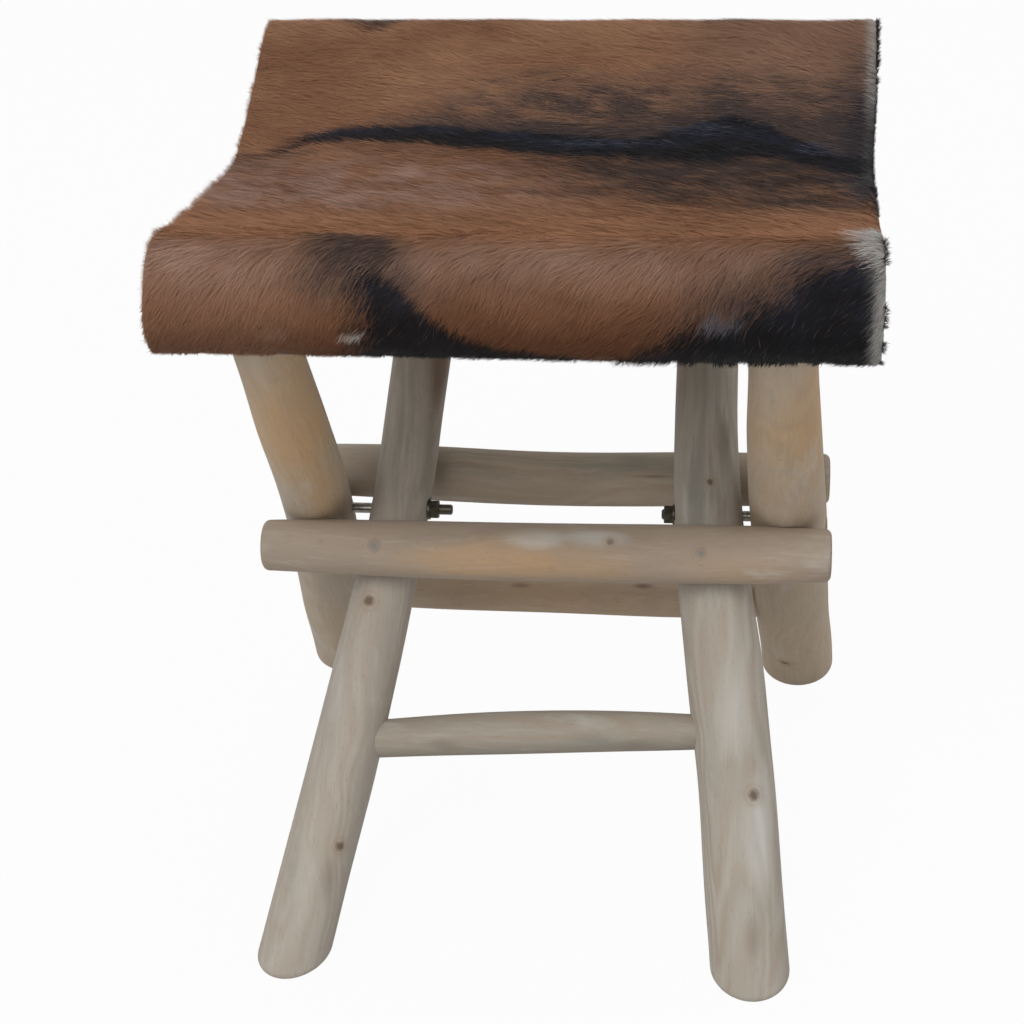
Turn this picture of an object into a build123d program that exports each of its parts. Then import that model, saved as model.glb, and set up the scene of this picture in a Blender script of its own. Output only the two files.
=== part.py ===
from build123d import *
from math import cos, radians, sin, sqrt
import os

# Folding stool: two crossed frames of round branch wood on one pivot line, with a
# hair-on hide slung between the two seat rails.
# Millimetres. +X runs along the rails, +Y to the back, +Z up, z = 0 on the floor.
# The outer frame reaches from the front seat rail down to the back feet, and the
# inner frame from the back seat rail down to the front feet.

# Frame
pivot_height = 206.5
frame_lean = 36.6  # degrees from upright, open against the stops
seat_rail_reach = 258.4  # from the pivot line up along the legs to the seat rails
seat_rail_inset = 4.3  # the seat rails sit this far inside the legs' own line
overrun = 25.0  # how far a blank or a cut runs past what it meets
stop_clearance = 0.3

# Legs: places across the stool and thicknesses at the foot, the pivot and the top
outer_left_foot_x, outer_left_pivot_x, outer_left_top_x = -160.0, -138.9, -129.2
outer_right_foot_x, outer_right_pivot_x, outer_right_top_x = 146.4, 132.2, 122.0
inner_left_foot_x, inner_left_pivot_x, inner_left_top_x = -143.5, -90.8, -68.0
inner_right_foot_x, inner_right_pivot_x, inner_right_top_x = 115.5, 86.2, 85.0
outer_left_foot_girth, outer_left_pivot_girth, outer_left_top_girth = 44.0, 40.2, 33.4
outer_right_foot_girth, outer_right_pivot_girth, outer_right_top_girth = 47.1, 43.3, 33.4
inner_left_foot_girth, inner_left_pivot_girth, inner_left_top_girth = 40.9, 34.4, 33.4
inner_right_foot_girth, inner_right_pivot_girth, inner_right_top_girth = 44.3, 38.3, 33.0
foot_edge_round = 3.2
leg_bend_softness = 45.0  # how far each way the bend at the pivot is spread

# How far each leg swells and strays, as shares of its own thickness, at even places
# from below the floor to its top
leg_blank_share = 1.13  # of the length from the pivot to the floor
leg_loft_steps = 16
outer_left_swell_shares = (0.0, 0.0, 0.004, 0.0, -0.006, 0.01, 0.026, -0.013, 0.0)
outer_left_stray_shares = (0.02, 0.0, -0.03, -0.02, 0.0, 0.01, -0.01, -0.01, 0.0)
outer_right_swell_shares = (0.0, 0.0, 0.0, -0.008, 0.004, 0.015, 0.007, -0.04, 0.0)
outer_right_stray_shares = (0.0, 0.01, -0.015, 0.0, 0.015, 0.0, -0.015, -0.01, 0.0)
inner_left_swell_shares = (0.0, 0.02, 0.06, 0.045, -0.01, -0.01, 0.01, 0.0, 0.0)
inner_left_stray_shares = (0.0, 0.01, 0.03, 0.02, 0.0, -0.01, 0.02, 0.02, 0.0)
inner_right_swell_shares = (0.0, 0.017, 0.04, 0.098, 0.045, -0.032, -0.034, -0.015, 0.0)
inner_right_stray_shares = (0.0, 0.035, 0.09, 0.085, 0.03, 0.0, 0.01, 0.0, 0.0)

# Seat rails and the tenons on the leg tops that they sit on
seat_rail_diameter = 50.0
seat_rail_left_x = -170.0
seat_rail_right_x = 161.0
seat_rail_edge_round = 5.0
leg_tenon_diameter = 20.0
leg_tenon_length = 24.0
tenon_end_gap = 1.0
front_rail_swell_shares = (-0.012, 0.0, -0.006, 0.004, -0.004, 0.0, -0.016)
back_rail_swell_shares = (-0.016, -0.004, 0.004, -0.006, 0.0, -0.006, -0.012)
rail_station_shares = (0.0, 0.12, 0.3, 0.5, 0.7, 0.88, 1.0)

# Stop rails: the front one is screwed to the inner legs, the back one to the outer
# legs, and each closes a V of the cross when the stool stands open
front_stop_left_x, front_stop_right_x = -163.5, 155.5
front_stop_diameter = 32.2
front_stop_reach = -25.4  # along the inner legs, below the pivot line
front_stop_left_standoff, front_stop_right_standoff = 31.6, 37.3
front_stop_swell_shares = (-0.11, -0.045, 0.005, 0.014, 0.02, 0.0, -0.1)
front_stop_rise_shares = (0.0, 0.0, -0.02, -0.02, 0.0, 0.02, 0.04)
back_stop_left_x, back_stop_right_x = -158.0, 157.0
back_stop_diameter = 31.8
back_stop_reach = -26.9  # along the outer legs, below the pivot line
back_stop_left_standoff, back_stop_right_standoff = 34.4, 35.8
back_stop_swell_shares = (-0.07, -0.01, 0.02, 0.006, 0.01, -0.02, -0.08)
back_stop_rise_shares = (0.05, 0.02, -0.04, -0.1, -0.07, -0.04, 0.0)
stop_rail_edge_round = 3.5

# Stretchers: thin round bars with tenons in blind holes of the legs
front_stretcher_left_reach, front_stretcher_right_reach = -133.8, -122.5
front_stretcher_diameter = 23.8
front_stretcher_swell_shares = (-0.1, -0.07, 0.0, 0.03, -0.02, -0.12, -0.25)
front_stretcher_rise_shares = (-0.03, 0.0, 0.06, 0.08, 0.06, 0.0, -0.02)
back_stretcher_left_reach, back_stretcher_right_reach = -136.0, -136.5
back_stretcher_diameter = 24.4
back_stretcher_swell_shares = (-0.14, -0.05, 0.01, 0.0, 0.03, -0.03, -0.12)
back_stretcher_rise_shares = (0.0, 0.02, 0.0, -0.02, -0.04, -0.02, 0.0)
stretcher_tenon_diameter = 14.0
stretcher_tenon_share = 0.3  # of the leg's thickness, past its middle towards the bar

# Pivot bolts, size M6
bolt_diameter = 6.0
left_bolt_length = 90.0
right_bolt_length = 85.0
bolt_head_diameter = 10.0
bolt_head_height = 6.0
bolt_key_width = 5.0
bolt_key_depth = 3.0
bolt_tip_chamfer = 0.8
bolt_bore_clearance = 0.08
left_counterbore_floor_x = -149.2
right_counterbore_floor_x = 144.2
counterbore_diameter = 13.5
washer_diameter = 12.0
washer_thickness = 1.2
washer_seat_diameter = 14.0
washer_seat_depth = 1.2
washer_gap = 0.3
nut_width = 10.0
nut_height = 5.0
nut_chamfer = 0.5

# Screws and wood plugs of the stop rails
stop_screw_diameter = 5.0
stop_screw_length = 46.0
stop_screw_head_diameter = 9.0
stop_screw_head_height = 3.0
stop_screw_tip = 4.0
plug_diameter = 9.6
plug_length = 5.0
front_left_screw_shift, front_right_screw_shift = -3.5, -5.0

# Screws that hold the seat rails on the leg tenons
rail_screw_diameter = 4.5
rail_screw_length = 66.0
rail_screw_head_diameter = 8.6
rail_screw_head_height = 3.2
rail_screw_tip = 4.0
rail_screw_sink = 1.6

# Hide: leather with its coat, one piece from rail to rail
hide_thickness = 5.2
hide_rail_gap = 0.3
hide_leather_thickness = 2.0
hide_left_x = -175.6
hide_back_right_x, hide_waist_right_x, hide_front_right_x = 177.4, 171.2, 167.4
hide_waist_share = 0.6  # of the way from the front rail to the back one
hide_end_angle = 113.0  # degrees below the seat side's level, under each seat rail
sling_front_slope, sling_back_slope = 18.0, 19.0
sling_sag = 37.6
# along the sling from front to back, and how deep it hangs there
sling_shares = ((0.11, 0.27), (0.22, 0.47), (0.33, 0.63), (0.44, 0.79), (0.54, 0.93))
sling_back_shares = ((0.63, 1.0), (0.72, 0.84), (0.85, 0.47), (0.93, 0.22))

# Tacks along the hide's two ends
tack_count = 8
tack_head_diameter = 9.0
tack_head_height = 1.8
tack_shank_diameter = 1.8
tack_length = 10.0
tack_tip = 3.0
tack_angle = 124.0  # degrees below the seat side's level
tack_margin = 14.0  # from the rail's ends to the first and last tack
tack_clearance = 0.3

# Worked out from the sizes above
lean_sin = sin(radians(frame_lean))
lean_cos = cos(radians(frame_lean))
foot_reach = pivot_height / lean_cos
rail_height = pivot_height + seat_rail_reach * lean_cos + seat_rail_inset * lean_sin
rail_depth = seat_rail_reach * lean_sin - seat_rail_inset * lean_cos
seat_rail_radius = seat_rail_diameter / 2
hide_inner_radius = seat_rail_radius + hide_rail_gap
hide_outer_radius = hide_inner_radius + hide_thickness
outer = -1  # the outer frame's top leans to the front
inner = 1  # the inner frame's top leans to the back

os.makedirs("parts", exist_ok=True)


def between(start, end, share):
    """The value a share of the way from start to end."""
    return start + (end - start) * share


def along_table(values, share):
    """The value a share of the way along a table of evenly spaced values."""
    place = share * (len(values) - 1)
    first = min(int(place), len(values) - 2)
    return between(values[first], values[first + 1], place - first)


def on_frame(side, across, reach, standoff):
    """A point of a frame: across the stool, up along its legs, and off their line."""
    depth = side * (reach * lean_sin - standoff * lean_cos)
    height = pivot_height + reach * lean_cos + standoff * lean_sin
    return Vector(across, depth, height)


def along_leg(side):
    """The direction up along a frame's legs."""
    return Vector(0, side * lean_sin, lean_cos)


def off_leg(side):
    """The direction square to a frame's legs, upwards."""
    return Vector(0, -side * lean_cos, lean_sin)


def soft_bend(values, reach):
    """A value up a leg from its foot, pivot and top values, bending softly at the pivot."""
    foot, pivot, top = values
    far = sqrt(foot_reach**2 + leg_bend_softness**2) - leg_bend_softness
    here = sqrt(reach**2 + leg_bend_softness**2) - leg_bend_softness
    straight = (top - foot) / 2 * reach / foot_reach
    return pivot + straight + ((foot + top) / 2 - pivot) * here / far


def leg_middle(leg, reach):
    """The leg's middle and thickness at a distance from the pivot, without its bumps."""
    return soft_bend(leg[1], reach), soft_bend(leg[2], reach)


def finish(piece, name):
    """Labels a finished piece and writes its file."""
    piece.part.label = name
    export_step(piece.part, "parts/" + name + ".step")


def round_bar(points, diameters):
    """A bar along X, lofted through circles at the given points."""
    with BuildPart() as bar:
        for point, diameter in zip(points, diameters):
            with BuildSketch(Plane(origin=point, x_dir=(0, 1, 0), z_dir=(1, 0, 0))):
                Circle(diameter / 2)
        loft()
    return bar.part


def rod(start, direction, length, diameter):
    """A plain round rod from a point, used for bores, tenons and cuts."""
    with BuildPart() as plain:
        with BuildSketch(Plane(origin=start, z_dir=direction)):
            Circle(diameter / 2)
        extrude(amount=length)
    return plain.part


def turned(start, direction, profile):
    """A turned piece: a profile of radius and distance along the given direction."""
    side_way = Vector(1, 0, 0) if abs(direction.X) < 0.5 else Vector(0, 1, 0)
    with BuildPart() as lathe:
        with BuildSketch(Plane(origin=start, x_dir=side_way, z_dir=side_way.cross(direction))):
            with BuildLine():
                Polyline(*profile, close=True)
            make_face()
        revolve(axis=Axis(start, direction))
    return lathe.part


def sunk_screw(head_top, direction, diameter, length, head_diameter, head_height, tip):
    """A countersunk screw that points along the given direction."""
    profile = [
        (0, 0),
        (head_diameter / 2, 0),
        (diameter / 2, head_height),
        (diameter / 2, length - tip),
        (0, length),
    ]
    return turned(head_top, direction, profile)


# Legs

leg_shapes = {
    "outer_leg_left": (
        outer,
        (outer_left_foot_x, outer_left_pivot_x, outer_left_top_x),
        (outer_left_foot_girth, outer_left_pivot_girth, outer_left_top_girth),
        outer_left_swell_shares,
        outer_left_stray_shares,
    ),
    "outer_leg_right": (
        outer,
        (outer_right_foot_x, outer_right_pivot_x, outer_right_top_x),
        (outer_right_foot_girth, outer_right_pivot_girth, outer_right_top_girth),
        outer_right_swell_shares,
        outer_right_stray_shares,
    ),
    "inner_leg_left": (
        inner,
        (inner_left_foot_x, inner_left_pivot_x, inner_left_top_x),
        (inner_left_foot_girth, inner_left_pivot_girth, inner_left_top_girth),
        inner_left_swell_shares,
        inner_left_stray_shares,
    ),
    "inner_leg_right": (
        inner,
        (inner_right_foot_x, inner_right_pivot_x, inner_right_top_x),
        (inner_right_foot_girth, inner_right_pivot_girth, inner_right_top_girth),
        inner_right_swell_shares,
        inner_right_stray_shares,
    ),
}


def leg_blank(leg):
    """A leg before its joints: a bent, swelling branch cut level on the floor."""
    side, places, girths, swells, strays = leg
    with BuildPart() as blank:
        for step in range(leg_loft_steps + 1):
            share = step / leg_loft_steps
            swell, stray = along_table(swells, share), along_table(strays, share)
            reach = between(-foot_reach * leg_blank_share, seat_rail_reach, share)
            across, girth = leg_middle(leg, reach)
            middle = on_frame(side, across + stray * girth, reach, 0)
            with BuildSketch(Plane(origin=middle, x_dir=(1, 0, 0), z_dir=along_leg(side))):
                Circle(girth * (1 + swell) / 2)
        loft()
        split(bisect_by=Plane.XY, keep=Keep.TOP)
        fillet(blank.edges().group_by(Axis.Z)[0], foot_edge_round)
    return blank.part


leg_blanks = {name: leg_blank(leg) for name, leg in leg_shapes.items()}


# Seat rails

def seat_rail_blank(side, swells):
    """A seat rail before its joints."""
    depth = side * rail_depth
    points = []
    diameters = []
    for share, swell in zip(rail_station_shares, swells):
        across = between(seat_rail_left_x, seat_rail_right_x, share)
        points.append(Vector(across, depth, rail_height))
        diameters.append(seat_rail_diameter * (1 + swell))
    with BuildPart() as blank:
        add(round_bar(points, diameters))
        ends = blank.faces().sort_by(Axis.X)
        fillet(ends[0].edges() + ends[-1].edges(), seat_rail_edge_round)
    return blank.part


front_rail_blank = seat_rail_blank(outer, front_rail_swell_shares)
back_rail_blank = seat_rail_blank(inner, back_rail_swell_shares)


def tenon_start(leg):
    """Where the leg's top goes into its seat rail."""
    across = leg[1][2]
    below_middle = sqrt(seat_rail_radius**2 - seat_rail_inset**2)
    return on_frame(leg[0], across, seat_rail_reach - below_middle, 0)


def leg_tenon(leg, grow):
    """The round tenon on a leg's top, grown at its end for the rail's hole."""
    start = tenon_start(leg) - along_leg(leg[0]) * leg_tenon_diameter / 2
    length = leg_tenon_diameter / 2 + leg_tenon_length + grow
    return rod(start, along_leg(leg[0]), length, leg_tenon_diameter)


def rail_screw_head(leg):
    """The top of the screw's head, just under the rail's upper side."""
    to_top = sqrt(seat_rail_radius**2 - seat_rail_inset**2) - rail_screw_sink
    return on_frame(leg[0], leg[1][2], seat_rail_reach + to_top, 0)


def rail_screw(leg):
    """A screw down through a seat rail into the leg's tenon."""
    return sunk_screw(
        rail_screw_head(leg),
        along_leg(leg[0]) * -1,
        rail_screw_diameter,
        rail_screw_length,
        rail_screw_head_diameter,
        rail_screw_head_height,
        rail_screw_tip,
    )


def rail_screw_cut(leg):
    """The screw's hole in the wood, open above its head."""
    up = along_leg(leg[0])
    head_top = rail_screw_head(leg)
    mouth = rod(head_top, up, overrun, rail_screw_head_diameter)
    return mouth + rail_screw(leg)


# Stop rails

def stop_rail_point(side, across, left_x, right_x, reach, left_standoff, right_standoff):
    """A point on a stop rail's straight line."""
    share = (across - left_x) / (right_x - left_x)
    return on_frame(side, across, reach, between(left_standoff, right_standoff, share))


def front_stop_point(across):
    return stop_rail_point(
        inner,
        across,
        front_stop_left_x,
        front_stop_right_x,
        front_stop_reach,
        front_stop_left_standoff,
        front_stop_right_standoff,
    )


def back_stop_point(across):
    return stop_rail_point(
        outer,
        across,
        back_stop_left_x,
        back_stop_right_x,
        back_stop_reach,
        back_stop_left_standoff,
        back_stop_right_standoff,
    )


def stop_rail_blank(point_at, left_x, right_x, diameter, swells, rises):
    """A stop rail before its saddles and holes."""
    points = []
    diameters = []
    for share, swell, rise in zip(rail_station_shares, swells, rises):
        lift = Vector(0, 0, rise * diameter)
        points.append(point_at(between(left_x, right_x, share)) + lift)
        diameters.append(diameter * (1 + swell))
    with BuildPart() as blank:
        add(round_bar(points, diameters))
        ends = blank.faces().sort_by(Axis.X)
        fillet(ends[0].edges() + ends[-1].edges(), stop_rail_edge_round)
    return blank.part


def stop_notch(leg, reach):
    """A straight notch that clears a leg of the other frame where it meets a stop."""
    across, girth = leg_middle(leg, reach)
    side = leg[0]
    lower = on_frame(side, across, reach - overrun, 0)
    widest = girth * (1 + max(leg[3][3:6])) + stop_clearance * 2
    return rod(lower, along_leg(side), overrun * 2, widest)


def plug_seat(leg, point_at, reach, diameter, shift):
    """The middle of a plug's outer face, and the way into the wood."""
    across, girth = leg_middle(leg, reach)
    across = across + shift
    into = off_leg(leg[0]) * -1
    return point_at(across) - into * (diameter / 2), into


def stop_screw(seat, into):
    return sunk_screw(
        seat + into * plug_length,
        into,
        stop_screw_diameter,
        stop_screw_length,
        stop_screw_head_diameter,
        stop_screw_head_height,
        stop_screw_tip,
    )


front_stop_blank = stop_rail_blank(
    front_stop_point,
    front_stop_left_x,
    front_stop_right_x,
    front_stop_diameter,
    front_stop_swell_shares,
    front_stop_rise_shares,
)
back_stop_blank = stop_rail_blank(
    back_stop_point,
    back_stop_left_x,
    back_stop_right_x,
    back_stop_diameter,
    back_stop_swell_shares,
    back_stop_rise_shares,
)
front_stop_seats = [
    plug_seat(
        leg_shapes["inner_leg_left"],
        front_stop_point,
        front_stop_reach,
        front_stop_diameter,
        front_left_screw_shift,
    ),
    plug_seat(
        leg_shapes["inner_leg_right"],
        front_stop_point,
        front_stop_reach,
        front_stop_diameter,
        front_right_screw_shift,
    ),
]
back_stop_seats = [
    plug_seat(leg_shapes[name], back_stop_point, back_stop_reach, back_stop_diameter, 0)
    for name in ("outer_leg_left", "outer_leg_right")
]


def stop_screws(seats):
    return [stop_screw(seat, into) for seat, into in seats]


def plug_rods(seats):
    """The plugs' outlines, run out past the rail's round face."""
    return [
        rod(seat - into * overrun, into, overrun + plug_length, plug_diameter)
        for seat, into in seats
    ]


# Stretchers

def stretcher_ends(left_leg, right_leg, left_reach, right_reach):
    """Where a stretcher's line meets the middles of its two legs."""
    side = left_leg[0]
    left_x, left_girth = leg_middle(left_leg, left_reach)
    right_x, right_girth = leg_middle(right_leg, right_reach)
    left_end = on_frame(side, left_x, left_reach, 0)
    right_end = on_frame(side, right_x, right_reach, 0)
    return left_end, right_end, left_girth, right_girth


def stretcher_blank(ends, diameter, swells, rises):
    """A stretcher's bar from leg middle to leg middle."""
    left_end, right_end = ends[0], ends[1]
    points = []
    diameters = []
    for share, swell, rise in zip(rail_station_shares, swells, rises):
        lift = Vector(0, 0, rise * diameter)
        points.append(left_end + (right_end - left_end) * share + lift)
        diameters.append(diameter * (1 + swell))
    return round_bar(points, diameters)


def stretcher_tenons(ends, grow):
    """The tenons at a stretcher's two ends, grown at their tips for the holes."""
    left_end, right_end, left_girth, right_girth = ends
    way = (right_end - left_end).normalized()
    left_start = left_end + way * (left_girth * stretcher_tenon_share - grow)
    right_start = right_end - way * (right_girth * stretcher_tenon_share - grow)
    left_length = left_girth / 2 + grow
    right_length = right_girth / 2 + grow
    return [
        rod(left_start, way, left_length, stretcher_tenon_diameter),
        rod(right_start, way * -1, right_length, stretcher_tenon_diameter),
    ]


front_stretcher_ends = stretcher_ends(
    leg_shapes["inner_leg_left"],
    leg_shapes["inner_leg_right"],
    front_stretcher_left_reach,
    front_stretcher_right_reach,
)
back_stretcher_ends = stretcher_ends(
    leg_shapes["outer_leg_left"],
    leg_shapes["outer_leg_right"],
    back_stretcher_left_reach,
    back_stretcher_right_reach,
)


# Pivot hardware

pivot_line = {
    "left": (Vector(left_counterbore_floor_x, 0, pivot_height), Vector(1, 0, 0)),
    "right": (Vector(right_counterbore_floor_x, 0, pivot_height), Vector(-1, 0, 0)),
}


def inner_face(leg, inward):
    """The washer seat's floor on the inner side of an inner leg."""
    reach = leg[2][1] / 2 - washer_seat_depth
    return Vector(leg[1][1] + inward * reach, 0, pivot_height)


washer_seats = {
    "left": inner_face(leg_shapes["inner_leg_left"], 1),
    "right": inner_face(leg_shapes["inner_leg_right"], -1),
}


def pivot_bolt(hand, length):
    """A socket-head bolt from the outer leg in to its nut."""
    floor, inward = pivot_line[hand]
    under_head = floor - inward * washer_thickness
    head_top = under_head - inward * bolt_head_height
    total = bolt_head_height + length
    profile = [
        (0, 0),
        (bolt_head_diameter / 2 - bolt_tip_chamfer, 0),
        (bolt_head_diameter / 2, bolt_tip_chamfer),
        (bolt_head_diameter / 2, bolt_head_height),
        (bolt_diameter / 2, bolt_head_height),
        (bolt_diameter / 2, total - bolt_tip_chamfer),
        (bolt_diameter / 2 - bolt_tip_chamfer, total),
        (0, total),
    ]
    with BuildPart() as bolt:
        add(turned(head_top, inward, profile))
        with BuildSketch(Plane(origin=head_top, z_dir=inward)):
            RegularPolygon(bolt_key_width / 2, 6, major_radius=False)
        extrude(amount=bolt_key_depth, mode=Mode.SUBTRACT)
    return bolt


def washer(start, direction):
    """A plain washer from a point along a direction."""
    with BuildPart() as ring:
        with BuildSketch(Plane(origin=start, z_dir=direction)):
            Circle(washer_diameter / 2)
            Circle(bolt_diameter / 2, mode=Mode.SUBTRACT)
        extrude(amount=washer_thickness)
    return ring.part


def nut(start, direction):
    """A hexagon nut from a point along a direction."""
    with BuildPart() as hexagon:
        with BuildSketch(Plane(origin=start, z_dir=direction)):
            RegularPolygon(nut_width / 2, 6, major_radius=False)
            Circle(bolt_diameter / 2, mode=Mode.SUBTRACT)
        extrude(amount=nut_height)
        tops = hexagon.faces().filter_by(Plane(start, z_dir=direction)).sort_by(Axis(start, direction))
        chamfer(tops[-1].outer_wire().edges(), nut_chamfer)
    return hexagon.part


def pivot_bore(hand, clearance):
    """The bolt's bore, right through a leg."""
    floor, inward = pivot_line[hand]
    start = floor - inward * overrun
    length = max(left_bolt_length, right_bolt_length) + overrun
    return rod(start, inward, length, bolt_diameter + clearance * 2)


def counterbore(hand):
    floor, inward = pivot_line[hand]
    return rod(floor, inward * -1, overrun, counterbore_diameter)


def washer_seat(hand):
    inward = pivot_line[hand][1]
    return rod(washer_seats[hand], inward, overrun, washer_seat_diameter)


for hand, length in (("left", left_bolt_length), ("right", right_bolt_length)):
    finish(pivot_bolt(hand, length), "pivot_bolt_" + hand)

head_washer_rings = []
pivot_washer_rings = []
pivot_nut_blocks = []
for hand in ("left", "right"):
    floor, inward = pivot_line[hand]
    head_washer_rings.append(washer(floor, inward * -1))
    seat = washer_seats[hand] + inward * washer_gap
    pivot_washer_rings.append(washer(seat, inward))
    pivot_nut_blocks.append(nut(seat + inward * washer_thickness, inward))

with BuildPart() as bolt_head_washers:
    add(head_washer_rings)
finish(bolt_head_washers, "bolt_head_washers")

with BuildPart() as pivot_washers:
    add(pivot_washer_rings)
finish(pivot_washers, "pivot_washers")

with BuildPart() as pivot_nuts:
    add(pivot_nut_blocks)
finish(pivot_nuts, "pivot_nuts")


# Finished legs

leg_joints = {
    "outer_leg_left": ("left", front_rail_blank, back_stretcher_ends, back_stop_seats[0]),
    "outer_leg_right": ("right", front_rail_blank, back_stretcher_ends, back_stop_seats[1]),
    "inner_leg_left": ("left", back_rail_blank, front_stretcher_ends, front_stop_seats[0]),
    "inner_leg_right": ("right", back_rail_blank, front_stretcher_ends, front_stop_seats[1]),
}
for name, leg in leg_shapes.items():
    hand, rail_blank, bar_ends, screw_seat = leg_joints[name]
    tenon = leg_tenon(leg, 0)
    bar_hole = stretcher_tenons(bar_ends, tenon_end_gap)[0 if hand == "left" else 1]
    screw_hole = stop_screw(*screw_seat)
    top_screw_hole = rail_screw_cut(leg)
    if leg[0] == outer:
        pivot_cuts = pivot_bore(hand, 0) + counterbore(hand)
    else:
        pivot_cuts = pivot_bore(hand, bolt_bore_clearance) + washer_seat(hand)
    with BuildPart() as finished_leg:
        add(leg_blanks[name])
        add(rail_blank, mode=Mode.SUBTRACT)
        add(tenon)
        add(top_screw_hole, mode=Mode.SUBTRACT)
        add(bar_hole, mode=Mode.SUBTRACT)
        add(screw_hole, mode=Mode.SUBTRACT)
        add(pivot_cuts, mode=Mode.SUBTRACT)
    finish(finished_leg, name)


# Finished seat rails, with their screws

def tack_line(side):
    """Where each tack's head sits on the leather, and the way into the rail."""
    angle = radians(tack_angle)
    outward = Vector(0, -side * cos(angle), -sin(angle))
    middle = Vector(0, side * rail_depth, rail_height)
    first = seat_rail_left_x + tack_margin
    last = seat_rail_right_x - tack_margin
    places = []
    for number in range(tack_count):
        across = Vector(between(first, last, number / (tack_count - 1)), 0, 0)
        seat = middle + across + outward * (hide_inner_radius + hide_leather_thickness)
        places.append((seat, outward * -1))
    return places


def tack(seat, into):
    """An upholstery tack with a low domed head."""
    dome = tack_head_height
    half_dome = dome / 2
    profile = [
        (0, -dome),
        (tack_head_diameter / 4, -dome + half_dome / 4),
        (tack_head_diameter * 0.4, -half_dome),
        (tack_head_diameter / 2, 0),
        (tack_shank_diameter / 2, 0),
        (tack_shank_diameter / 2, tack_length - tack_tip),
        (0, tack_length),
    ]
    return turned(seat, into, profile)


for name, side, blank, leg_names in (
    ("front_seat_rail", outer, front_rail_blank, ("outer_leg_left", "outer_leg_right")),
    ("back_seat_rail", inner, back_rail_blank, ("inner_leg_left", "inner_leg_right")),
):
    tacks = [tack(seat, into) for seat, into in tack_line(side)]
    sockets = [leg_tenon(leg_shapes[leg_name], tenon_end_gap) for leg_name in leg_names]
    screw_holes = [rail_screw_cut(leg_shapes[leg_name]) for leg_name in leg_names]
    screws = [rail_screw(leg_shapes[leg_name]) for leg_name in leg_names]
    with BuildPart() as seat_rail:
        add(blank)
        add(sockets, mode=Mode.SUBTRACT)
        add(screw_holes, mode=Mode.SUBTRACT)
        add(tacks, mode=Mode.SUBTRACT)
    finish(seat_rail, name)
    with BuildPart() as rail_screws:
        add(screws)
    finish(rail_screws, name + "_screws")
    with BuildPart() as hide_tacks:
        add(tacks)
    finish(hide_tacks, name.replace("seat_rail", "hide_tacks"))


# Finished stop rails, with their screws and plugs

for name, blank, seats, seat_legs, met_legs, met_reach in (
    (
        "front_stop_rail",
        front_stop_blank,
        front_stop_seats,
        ("inner_leg_left", "inner_leg_right"),
        ("outer_leg_left", "outer_leg_right"),
        -front_stop_reach,
    ),
    (
        "back_stop_rail",
        back_stop_blank,
        back_stop_seats,
        ("outer_leg_left", "outer_leg_right"),
        ("inner_leg_left", "inner_leg_right"),
        -back_stop_reach,
    ),
):
    seat_cuts = [leg_blanks[leg_name] for leg_name in seat_legs]
    notches = [stop_notch(leg_shapes[leg_name], met_reach) for leg_name in met_legs]
    screws = stop_screws(seats)
    plug_shapes = plug_rods(seats)
    with BuildPart() as stop_rail:
        add(blank)
        add(seat_cuts, mode=Mode.SUBTRACT)
        add(notches, mode=Mode.SUBTRACT)
        add(plug_shapes, mode=Mode.SUBTRACT)
        add(screws, mode=Mode.SUBTRACT)
    finish(stop_rail, name)
    with BuildPart() as rail_screws:
        add(screws)
    finish(rail_screws, name + "_screws")
    with BuildPart() as plugs:
        add(blank)
        add(plug_shapes, mode=Mode.INTERSECT)
    finish(plugs, name + "_plugs")


# Finished stretchers

for name, ends, diameter, swells, rises, leg_names in (
    (
        "front_stretcher",
        front_stretcher_ends,
        front_stretcher_diameter,
        front_stretcher_swell_shares,
        front_stretcher_rise_shares,
        ("inner_leg_left", "inner_leg_right"),
    ),
    (
        "back_stretcher",
        back_stretcher_ends,
        back_stretcher_diameter,
        back_stretcher_swell_shares,
        back_stretcher_rise_shares,
        ("outer_leg_left", "outer_leg_right"),
    ),
):
    bar = stretcher_blank(ends, diameter, swells, rises)
    seat_cuts = [leg_blanks[leg_name] for leg_name in leg_names]
    tenons = stretcher_tenons(ends, 0)
    with BuildPart() as stretcher:
        add(bar)
        add(seat_cuts, mode=Mode.SUBTRACT)
        add(tenons)
    finish(stretcher, name)


# Hide

def roll_point(side, radius, angle):
    """A point round a seat rail: 0 degrees faces the seat's middle, 90 is the top."""
    turn = radians(angle)
    return (
        side * (rail_depth - radius * cos(turn)),
        rail_height + radius * sin(turn),
    )


def sling_line(depth_below):
    """The sling's points from front to back, a given distance below its upper side."""
    front = roll_point(outer, hide_outer_radius, 90 - sling_front_slope)
    back = roll_point(inner, hide_outer_radius, 90 - sling_back_slope)
    table = ((0, 0),) + sling_shares + sling_back_shares + ((1, 0),)
    upper = []
    for along, deep in table:
        upper.append((between(front[0], back[0], along), front[1] - deep * sling_sag))
    line = []
    for number in range(1, len(upper) - 1):
        before, here, after = upper[number - 1 : number + 2]
        run, climb = after[0] - before[0], after[1] - before[1]
        length = sqrt(run**2 + climb**2)
        line.append((here[0] + climb / length * depth_below, here[1] - run / length * depth_below))
    return line


def sling_edge(radius, depth_below):
    """One face of the sling between the two rolls, as a tangent spline."""
    front = roll_point(outer, radius, 90 - sling_front_slope)
    back = roll_point(inner, radius, 90 - sling_back_slope)
    down = radians(sling_front_slope)
    up = radians(sling_back_slope)
    return Spline(
        front,
        *sling_line(depth_below),
        back,
        tangents=((cos(down), -sin(down)), (cos(up), sin(up))),
    )


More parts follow.
